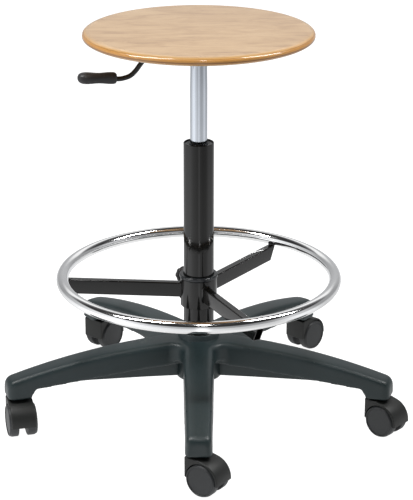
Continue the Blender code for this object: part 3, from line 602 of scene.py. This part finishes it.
def lift_column():
    """The column tube that tapers into the hub, the bush in its mouth, and the hub's steel sleeve."""
    bottom, top = low("column_tube").z, high("column_tube").z
    radius = reach_of("column_tube")
    bore = radius - 1.8 * MM
    taper, drawn_in, floor, rod_hole = 72 * MM, 1.4 * MM, 3 * MM, 5 * MM
    skin = rounded([(radius, top, 0.9 * MM), (radius, bottom + taper, 0), (radius - drawn_in, bottom, 0),
                    (rod_hole, bottom, 0), (rod_hole, bottom + floor, 0),
                    (bore - drawn_in, bottom + floor, 0), (bore, bottom + taper, 0),
                    (bore, top, 0.8 * MM)], steps=5)
    piece("outer_column", moved(turned(skin, sides=128), ON_COLUMN), ENAMEL, "base", ["column_tube"])

    bottom, top = low("guide_bush").z, high("guide_bush").z
    outer, inner = bore - 0.3 * MM, 14.3 * MM
    lip = top - 0.8 * MM
    skin = rounded([(outer, top, 0.8 * MM), (outer, bottom, 0.5 * MM), (inner, bottom, 0.5 * MM),
                    (inner, top - 3 * MM, 0.5 * MM), (16.2 * MM, lip, 0.6 * MM), (18 * MM, lip, 0.4 * MM),
                    (18.6 * MM, top, 0.3 * MM)], steps=3)
    piece("column_bush", moved(turned(skin), ON_COLUMN), GLOSS, "base", ["guide_bush"])

    bottom, top = low("hub_sleeve").z, high("hub_sleeve").z
    outer, mouth, narrow = reach_of("hub_sleeve"), radius + 0.3 * MM, radius - 0.9 * MM
    skin = rounded([(narrow, bottom, 0), (outer, bottom, 0.5 * MM), (outer, top, 0.8 * MM),
                    (mouth, top, 0.8 * MM), (mouth, bottom + 66 * MM, 0)], steps=3)
    piece("taper_sleeve", moved(turned(skin), ON_COLUMN), ZINC, "base", ["hub_sleeve"])


# Foot ring

RING_TUBE = 10 * MM
RING_REACH = reach_of("foot_ring") - RING_TUBE       # from the column's axis to the tube's centreline
COLLAR_INNER = 27.1 * MM
COLLAR_OUTER = 30.3 * MM
BOSS_RADIUS = 9 * MM
SCREW_HOLE = 4.4 * MM
KNOB_START = 53 * MM
KNOB_DEEP = 13 * MM
KNOB_RADIUS = 14 * MM
KNOB_LOBES = 8
SPOKE_BEARINGS = (175.4, 55.4, -64.6)
SPOKE_HALF_WIDTH = 6.5 * MM
SPOKE_TALL = 25.4 * MM
SPOKE_SLANT = 14 * MM
SPOKE_WALL = 1.6 * MM


def weld_bead(path, radius, ripple, beat, phase=0.0, closed=False):
    """A weld bead along a path, rippled by a share of its radius."""
    radii = [radius * (1 + ripple * math.sin(beat * k + phase)) for k in range(len(path))]
    return swept(path, radii, sides=8, closed=closed)


def liner_lip():
    """The plastic liner between collar and column, with its lip above the collar."""
    bottom, shoulder, top = low("collar").z, high("collar").z + 0.3 * MM, high("ring_liner").z
    lip = reach_of("ring_liner")
    bore = 25.3 * MM
    skin = rounded([(bore, bottom, 0), (bore + 1.5 * MM, bottom, 0), (bore + 1.5 * MM, shoulder, 0),
                    (lip, shoulder, 1.5 * MM), (lip, top, 2.4 * MM), (bore, top, 1.2 * MM)], steps=6)
    piece("liner_lip", moved(turned(skin, sides=128), ON_COLUMN), GLOSS, "ring_liner", ["ring_liner"])


def clamp_parts():
    """The collar with its welded boss, and the clamp's fluted knob."""
    bottom, top = low("collar").z, high("collar").z
    level = spot("clamp_turn").z
    outward = Vector(JOINTS["clamp_turn"]["axis"])
    bearing = math.degrees(math.atan2(outward.y, outward.x))
    skin = rounded([(COLLAR_INNER, bottom, 0.5 * MM), (COLLAR_OUTER, bottom, 1 * MM),
                    (COLLAR_OUTER, top, 1 * MM), (COLLAR_INNER, top, 0.5 * MM)], steps=4)
    boss = rounded([(SCREW_HOLE, 28 * MM, 0), (BOSS_RADIUS, 28 * MM, 0), (BOSS_RADIUS, 37 * MM, 1.2 * MM),
                    (SCREW_HOLE, 37 * MM, 0.5 * MM)], steps=4)
    toe = [Vector((math.sqrt((COLLAR_OUTER + 0.3 * MM) ** 2 - y * y), y, z))
           for y, z in arc(0, 0, BOSS_RADIUS + 0.6 * MM, 0, 350, 35)]
    bead = weld_bead(toe, 1.5 * MM, ripple=0.14, beat=2.6, closed=True)
    side = joined([moved(turned(boss, sides=40), turn(90, "Y")), bead])
    body = joined([turned(skin, sides=128), moved(side, turn(bearing), shift(z=level))])
    piece("clamp_collar", moved(body, ON_COLUMN), ENAMEL, "foot_ring", ["collar"])

    # The knob's outline: how far out it reaches, against the widest, and a share of its depth
    profile = [(0.3, 0.0), (2.2, 0.05), (3.1, 0.25), (3.4, 0.5), (3.4, 0.75), (3.1, 0.95), (2.4, 1.0),
               (1.2, 1.06), (0.1, 1.08)]
    widest = max(reach for reach, share in profile)
    sections = []
    for reach, share in profile:
        ring = []
        for k in range(96):
            a = math.tau * k / 96
            flute = 1 - 0.085 * (0.5 - 0.5 * math.cos(KNOB_LOBES * a)) ** 1.6
            radius = KNOB_RADIUS * reach / widest * flute
            ring.append(Vector((KNOB_START + KNOB_DEEP * share, radius * math.cos(a), radius * math.sin(a))))
        sections.append(ring)
    knob = moved(lofted(sections), turn(bearing), shift(z=level), ON_COLUMN)
    piece("clamp_handwheel", knob, GRIP, "clamp", ["clamp_knob"], sharp=50)


def spokes():
    """Three rectangular tubes from the collar to the ring, welded at both ends, with open slanted tips."""
    top = low("foot_ring").z - 0.3 * MM

    def section(end, inset, depth=0.0, slant=0.0):
        """The tube cut across, drawn in by the inset and back by the depth, and leaning by the slant."""
        half, tall = SPOKE_HALF_WIDTH - inset, SPOKE_TALL / 2 - inset
        corner = max(0.7 * MM, 2.2 * MM - inset)
        outline = rounded([(half, tall, corner), (-half, tall, corner), (-half, -tall, corner),
                           (half, -tall, corner)], steps=4)
        return [Vector((end - depth - slant * (0.5 - z / SPOKE_TALL), y, top - SPOKE_TALL / 2 + z))
                for y, z in outline]

    for number, bearing in enumerate(SPOKE_BEARINGS, 1):
        rows = [section(28 * MM, 0), section(RING_REACH - 0.4 * MM, 0, slant=SPOKE_SLANT),
                section(RING_REACH, 0.4 * MM, slant=SPOKE_SLANT),
                section(RING_REACH, 1.3 * MM, slant=SPOKE_SLANT),
                section(RING_REACH, SPOKE_WALL, 0.4 * MM, SPOKE_SLANT), section(60 * MM, SPOKE_WALL)]
        foot = section(COLLAR_OUTER, -0.5 * MM)
        for point in foot:
            point.x = math.sqrt((COLLAR_OUTER + 0.2 * MM) ** 2 - min(point.y, 7 * MM) ** 2)
        welds = [weld_bead(foot, 1.5 * MM, ripple=0.16, beat=2.1, closed=True)]
        for side in (-1, 1):
            run = [Vector((RING_REACH + (k / 10 - 0.5) * 11 * MM, side * (SPOKE_HALF_WIDTH - 1.2 * MM),
                           top + 1.1 * MM - 0.2 * MM * math.cos(k * 1.9))) for k in range(3, 9)]
            welds.append(weld_bead(run, 0.96 * MM, ripple=0.375, beat=2.3, phase=1.0))
        body = joined([lofted(rows)] + welds)
        piece(f"ring_spoke_{number}", moved(body, turn(bearing), ON_COLUMN), ENAMEL, "foot_ring",
              [f"spoke_{number}"])


def chromed_ring():
    """The ring of bent tube."""
    middle = (high("foot_ring").z + low("foot_ring").z) / 2
    outline = arc(RING_REACH, middle, RING_TUBE, 0, 352.5, 47)
    ring = turned(outline, sides=240)
    piece("ring_tube", moved(ring, ON_COLUMN), CHROME, "foot_ring", ["foot_ring"])


# Base

FOOT = low("base_star").z + 3 * MM           # the underside of an arm's end
ROOT = high("base_star").z - 9 * MM          # where the arms' tops would meet on the axis
STEM_CIRCLE = (spot("caster_front_swivel") - COLUMN).xy.length
HEEL = STEM_CIRCLE - 21 * MM                 # where an arm's end block starts
TIP = STEM_CIRCLE + 21 * MM
ARMS = 5
ARM_FALL = 34 * MM                           # from the axis to the stem circle
ARM_ROOT_HALF = 27.2 * MM
ARM_NARROWING = 5.4 * MM
ARM_SHOULDER = 9 * MM
ARM_DRAFT = 1.5 * MM
ARM_CROWN = 0.7 * MM
ARM_WALL = 4 * MM
SKIRT_RISE = 17 * MM
HUB_START = 60 * MM                          # where an arm comes out of the hub
HUB_LIFT = 9 * MM                            # the hub's underside is this far above the arms' skirts
HUB_BORE = 29.6 * MM
RIB_PLACES = (95 * MM, 150 * MM, 205 * MM, 255 * MM)


def arm_top(r):
    return ROOT - ARM_FALL * (r / STEM_CIRCLE) ** 2.3


def arm_half(r):
    return ARM_ROOT_HALF - ARM_NARROWING * min(1.0, r / STEM_CIRCLE)


def skirt_edge(r):
    """Lower edge of an arm's sides: it rises from the heel to the hub."""
    return FOOT + 14 * MM + SKIRT_RISE * max(0.0, 1 - (r / STEM_CIRCLE) ** 2) ** 1.5


def arm_cut(r, top, bottom, half, inset=0.0):
    """The arm seen along its length: drafted sides, round shoulders and a slightly crowned top."""
    side = half - inset
    peak = top - inset
    round_off = ARM_SHOULDER - inset * 0.5
    shoulder = arc(side - ARM_DRAFT - round_off, peak - round_off, round_off, 0, 84, 5)
    points = [(side, bottom)] + shoulder + [(side * 0.25, peak + ARM_CROWN)]
    points += [(-y, z) for y, z in reversed(points)]
    return [Vector((r, y, z)) for y, z in points]


def arm_body():
    """One solid arm along +X, down to its foot and round its end."""
    def span(r, bottom):
        return arm_cut(r, arm_top(r), bottom, arm_half(r))

    sections = [span(r * MM, skirt_edge(r * MM)) for r in range(20, 285, 12)]
    for step in range(6):
        share = step / 5
        r = HEEL - 5 * MM + 11 * MM * share
        fall = share * share * (3 - 2 * share)
        sections.append(span(r, skirt_edge(r) * (1 - fall) + FOOT * fall))
    sections += [span(HEEL + 14 * MM, FOOT), span(STEM_CIRCLE, FOOT)]
    nose = 13 * MM
    for angle in range(0, 91, 15):
        a = math.radians(angle)
        r = TIP - nose * (1 - math.sin(a))
        curl = 1 - math.cos(a)
        sections.append(arm_cut(r, arm_top(r) - 10 * MM * curl ** 1.2, FOOT + 2 * MM * curl,
                                arm_half(r) - 8 * MM * curl))
    return lofted(sections)


def root_web():
    """The body of the hub between the arms, with hollow corners that run into the arms' sides."""
    top = arm_top(HUB_START)
    shoulder = top - ARM_SHOULDER
    levels = [(skirt_edge(HUB_START) + HUB_LIFT, 0.0), (shoulder, ARM_DRAFT)]
    for angle in (25, 45, 62, 76, 86):
        a = math.radians(angle)
        levels.append((shoulder + ARM_SHOULDER * math.sin(a), ARM_DRAFT + ARM_SHOULDER * (1 - math.cos(a))))
    rows = []
    for z, inset in levels:
        half = 25.6 * MM - inset
        radius = 21 * MM + inset
        out = (half + radius) / math.sin(math.pi / ARMS)
        ring = []
        for arm in range(ARMS):
            middle = math.tau * (arm + 0.5) / ARMS
            for a in range(-54, 55, 9):
                face = middle + math.pi - math.radians(a)
                ring.append(Vector((out * math.cos(middle) + radius * math.cos(face),
                                    out * math.sin(middle) + radius * math.sin(face), z)))
        rows.append(ring)
    return lofted(rows)


def star_skin():
    """Arms and hub run into one smooth solid."""
    underside = skirt_edge(0) + HUB_LIFT
    hub = turned([(0, underside), (40 * MM, underside), (40 * MM, ROOT), (0, ROOT)], sides=64)
    arms = [moved(arm_body(), turn(360 * arm / ARMS)) for arm in range(ARMS)]
    star = held("star_base", faced_out(joined(arms + [root_web(), hub])))
    skin = star.modifiers.new("skin", "REMESH")
    skin.mode = "VOXEL"
    skin.voxel_size = 1.9 * MM
    settled(star)
    ease = star.modifiers.new("ease", "SMOOTH")
    ease.factor = 0.5
    ease.iterations = 7
    settled(star)
    return star


def arm_hollow():
    """The space under one arm, inside its walls."""
    places = (44 * MM, 70 * MM, 110 * MM, 150 * MM, 190 * MM, 230 * MM, 260 * MM, HEEL - 5 * MM)
    return lofted([arm_cut(r, arm_top(r), FOOT - 5 * MM, arm_half(r), ARM_WALL) for r in places])


def arm_ribs():
    """One rib along the arm and four across it."""
    half = 1.5 * MM
    rows = []
    for r, edge in ((34 * MM, FOOT - 1 * MM), (100 * MM, FOOT + 4.5 * MM), (190 * MM, FOOT + 11 * MM),
                    (HEEL + 3 * MM, FOOT + 14.5 * MM)):
        peak = arm_top(r) - 2.5 * MM
        outline = rounded([(half, edge, 0.6 * MM), (half, peak, 0), (-half, peak, 0),
                           (-half, edge, 0.6 * MM)], steps=3)
        rows.append([Vector((r, y, z)) for y, z in outline])
    ribs = [lofted(rows)]
    for r in RIB_PLACES:
        wide = arm_half(r) - 3 * MM
        outline = ((r, -wide), (r + 2 * MM, -wide), (r + 2 * MM, wide), (r, wide))
        ribs.append(lofted([[Vector((x, y, z)) for x, y in outline]
                            for z in (skirt_edge(r) + 4 * MM, arm_top(r) - 3 * MM)]))
    return ribs


def star_base():
    """The moulded star, hollowed from below and ribbed, with the hub's collar round the sleeve."""
    star = star_skin()
    spins = [turn(360 * arm / ARMS) for arm in range(ARMS)]
    cut(star, joined([moved(arm_hollow(), spin) for spin in spins]))
    below, above = FOOT - 20 * MM, ROOT + 30 * MM
    cut(star, turned([(0, below), (HUB_BORE, below), (HUB_BORE, above), (0, above)]))
    bottom, top = low("base_star").z, high("base_star").z
    collar = turned(rounded([(HUB_BORE, bottom, 0.8 * MM), (37.6 * MM, bottom, 1.5 * MM),
                             (37.6 * MM, ROOT - 6 * MM, 0), (34.6 * MM, ROOT + 1.5 * MM, 3 * MM),
                             (33 * MM, top, 1.6 * MM), (HUB_BORE, top, 1 * MM)], steps=5))
    ribs = [moved(rib, spin) for spin in spins for rib in arm_ribs()]
    whole = absorbed(lifted(star), joined([collar] + ribs))
    made = held("moulded_star", moved(whole, turn(-90), ON_COLUMN))
    finished(made, NYLON, "base", ["base_star"], sharp=50)


# Casters

CASTER_PLACES = ("front", "right", "rear_right", "rear_left", "left")
WHEEL_RADIUS = spot("caster_front_roll_a").z
HOOD_RADIUS = WHEEL_RADIUS + 4 * MM
WHEEL_INNER = 6.5 * MM        # from the caster's middle to a wheel's inner face
WHEEL_OUTER = WHEEL_INNER + 17 * MM
RIM_STEP = WHEEL_OUTER - 0.3 * MM
AXLE_BORE = 3.3 * MM
HOOD_HALF = WHEEL_OUTER - 3 * MM
HOOD_SHOULDER = 2.6 * MM
WEB_HALF = 3.6 * MM


def wheel_body():
    """One wheel about Z, from its bored inner face to its flat outer face with a stepped rim."""
    tread = rounded([(WHEEL_RADIUS - 2 * MM, WHEEL_INNER, 1 * MM),
                     (WHEEL_RADIUS, WHEEL_INNER + 2 * MM, 1.5 * MM),
                     (WHEEL_RADIUS, WHEEL_OUTER - 5 * MM, 2.5 * MM),
                     (WHEEL_RADIUS - 2 * MM, RIM_STEP, 1.4 * MM),
                     (WHEEL_RADIUS - 3.6 * MM, RIM_STEP, 0.6 * MM),
                     (WHEEL_RADIUS - 4.3 * MM, WHEEL_OUTER - 1.4 * MM, 0.5 * MM)], steps=4)
    floor = WHEEL_INNER + 0.7 * MM
    return turned([(0, floor), (AXLE_BORE, floor), (AXLE_BORE, WHEEL_INNER)] + tread
                  + [(12 * MM, WHEEL_OUTER - 1 * MM), (0, WHEEL_OUTER - 0.8 * MM)], sides=80)


def hood_outline(trail, inset):
    """The hood from its side: round over the wheels, with a flat top and a square front."""
    front = trail - HOOD_RADIUS + inset
    flat = high("caster_front_body").z - 0.5 * MM - inset
    radius = HOOD_RADIUS - inset
    lower = WHEEL_RADIUS - 8 * MM + inset
    shell = arc(trail, WHEEL_RADIUS, radius, -5, 78, 20)
    top = rounded([(trail + radius * 0.2, WHEEL_RADIUS + radius * 0.98, 0), (trail - 9 * MM, flat, 7 * MM),
                   (front, flat, 1.6 * MM), (front, WHEEL_RADIUS - 1 * MM + inset, 1 * MM),
                   (trail - 8 * MM, lower, 0)], steps=5)
    return shell + top[1:] + [(trail + 8 * MM, lower)]


def hood_body(trail):
    """The caster's body: a hood over both wheels, with wells for them and a web between."""
    sides = [(HOOD_HALF - HOOD_SHOULDER * (1 - math.sin(math.radians(a))),
              HOOD_SHOULDER * (1 - math.cos(math.radians(a)))) for a in (0, 25, 45, 62, 76, 88)]
    rows = [[Vector((x, y, z)) for x, z in hood_outline(trail, inset)]
            for y, inset in [(-y, inset) for y, inset in reversed(sides)] + sides]
    hood = held("hood", faced_out(lofted(rows)))
    reach, past = WHEEL_RADIUS + 1 * MM, HOOD_HALF + 5 * MM
    well = [(0, WEB_HALF), (reach, WEB_HALF), (reach, past), (0, past)]
    cut(hood, joined([moved(turned(well, sides=72), turn(90 * side, "X"), shift(trail, 0, WHEEL_RADIUS))
                      for side in (-1, 1)]))
    return lifted(hood)


def casters():
    """Five hooded twin-wheel casters, each at its own stem and trailing its own way."""
    trail = (spot("caster_front_roll_a") - spot("caster_front_swivel")).xy.length
    hood = hood_body(trail)
    for place in CASTER_PLACES:
        stem, hub = spot(f"caster_{place}_swivel"), spot(f"caster_{place}_roll_a")
        bearing = math.degrees(math.atan2(hub.y - stem.y, hub.x - stem.x))
        stand = shift(stem.x, stem.y) @ turn(bearing)
        made = held(f"caster_{place}_hood", moved(hood.copy(), stand))
        finished(made, HOOD, f"caster_{place}", [f"caster_{place}_body"], sharp=40)
        for name, side in (("a", 1), ("b", -1)):
            disc = moved(wheel_body(), turn(-90 * side, "X"), shift(trail, 0, WHEEL_RADIUS), stand)
            piece(f"caster_{place}_disc_{name}", disc, WHEEL, f"caster_{place}_wheel_{name}",
                  [f"caster_{place}_wheel_{name}"])


# Studio

WHITE = rgb(1, 1, 1)


def round_the_room(nodes, x, y):
    """How bright the room is towards each bearing, in degrees from behind, past left, front and right."""
    bearing = nodes.add("ShaderNodeMath", {"operation": "ARCTAN2"}, {0: x, 1: 0.0 - y}) / math.tau + 0.5
    levels = [(-180, 0.50), (-150, 0.40), (-135, 0.33), (-100, 0.70), (-90, 0.90), (-64, 1.10), (-40, 0.70),
              (-15, 0.50), (-3, 0.50), (0, 0.95), (5, 0.95), (9, 0.48), (30, 0.32), (56, 0.34), (75, 0.65),
              (90, 0.60), (107, 0.33), (140, 0.35), (160, 0.50), (180, 0.50)]
    return nodes.ramp(bearing, [((angle + 180) / 360, (level, level * 1.01, level * 1.03))
                                for angle, level in levels])


def room():
    """Grey cards round the sides under a dark ceiling with one bright box, and white to the camera."""
    world = bpy.data.worlds.new("white room")
    bpy.context.scene.world = world
    world.use_nodes = True
    nodes = Nodes(world.node_tree)
    sky = world.node_tree.nodes["Background"]
    x, y, z = nodes.axes_of(nodes.add("ShaderNodeTexCoord", {}, {}, "Generated"))
    ceiling = nodes.blend(nodes.between(y, 0.35, 0.75), rgb(0.03, 0.03, 0.03), rgb(0.30, 0.30, 0.31))
    back_box = nodes.between(y, 0.6, 0.72) * (1.0 - nodes.between(z, 0.66, 0.74))
    ceiling = nodes.blend(back_box, ceiling, WHITE)
    cards = nodes.blend(nodes.between(z, 0.36, 0.52), round_the_room(nodes, x, y), ceiling)
    seen = nodes.add("ShaderNodeLightPath", {}, {}, "Is Camera Ray")
    world.node_tree.links.new(nodes.blend(seen, cards, WHITE).socket, sky.inputs["Color"])
    sky.inputs["Strength"].default_value = 1.0


def pale_floor():
    """A plain floor: white to the camera, and grey away from the stool for what is reflected in it."""
    floor = bpy.data.objects.new("studio_floor", bpy.data.meshes.new("studio_floor"))
    plane = bmesh.new()
    bmesh.ops.create_grid(plane, x_segments=2, y_segments=2, size=15)
    plane.to_mesh(floor.data)
    floor.location = (0, 0, -0.2 * MM)
    bpy.context.scene.collection.objects.link(floor)
    pale = Finish("pale floor", "floor", {"Base Color": rgb(0.30, 0.30, 0.30), "Roughness": 0.9,
                                          "Emission Strength": 1.0})
    x, y = (part - start for part, start in zip(pale.axes_of(pale.place), COLUMN.xy))
    near = 1.0 - pale.between((x * x + y * y) ** 0.5, 0.20, 0.55)
    glow = pale.blend(near, round_the_room(pale, x, y), rgb(0.62, 0.62, 0.62))
    seen = pale.add("ShaderNodeLightPath", {}, {}, "Is Camera Ray")
    pale.wire(Emission_Color=pale.blend(seen, glow, WHITE))
    floor.data.materials.append(pale.material)


def lamps():
    """Three soft boxes overhead, each with its place and size in metres and its power in watts."""
    middle = Vector((0, 0, 0.35))
    for name, place, size, power in (("box_left", (-1.1, -0.2, 2.3), (0.28, 1.4), 39),
                                     ("box_front", (0.10, -1.1, 2.5), (0.20, 0.7), 7),
                                     ("box_right", (1.3, 0.1, 2.2), (0.24, 1.2), 33)):
        light = bpy.data.lights.new(name, "AREA")
        light.shape = "RECTANGLE"
        light.size, light.size_y = size
        light.energy = power
        lamp = bpy.data.objects.new(name, light)
        lamp.location = place
        lamp.rotation_euler = (middle - Vector(place)).to_track_quat("-Z", "Y").to_euler()
        bpy.context.scene.collection.objects.link(lamp)


def camera():
    """A long lens three metres in front of the stool and above it, looking down."""
    data = bpy.data.cameras.new("camera")
    data.lens = 138.65
    data.sensor_width = 36
    data.shift_x = 0.0155
    data.clip_end = 100
    made = bpy.data.objects.new("camera", data)
    made.location = COLUMN + Vector((0, -3.0, 1.3708))
    made.rotation_euler = (math.pi / 2 - 0.348, 0, 0)
    bpy.context.scene.collection.objects.link(made)
    bpy.context.scene.camera = made


def kept_parts():
    """The CAD parts that stay as they are take the finish of their material."""
    slots = {entry["node"]: entry["material_slot"] for entry in frame["record"]["subparts"]}
    for name, node in frame["nodes"].items():
        node.material_slots[0].material = KEPT[slots[name]].material


camera()
room()
pale_floor()
lamps()
bpy.context.scene.view_settings.view_transform = "Standard"
seat_board()
seat_lever()
under_seat()
lift_cylinder()
lift_column()
liner_lip()
clamp_parts()
spokes()
chromed_ring()
star_base()
casters()
kept_parts()
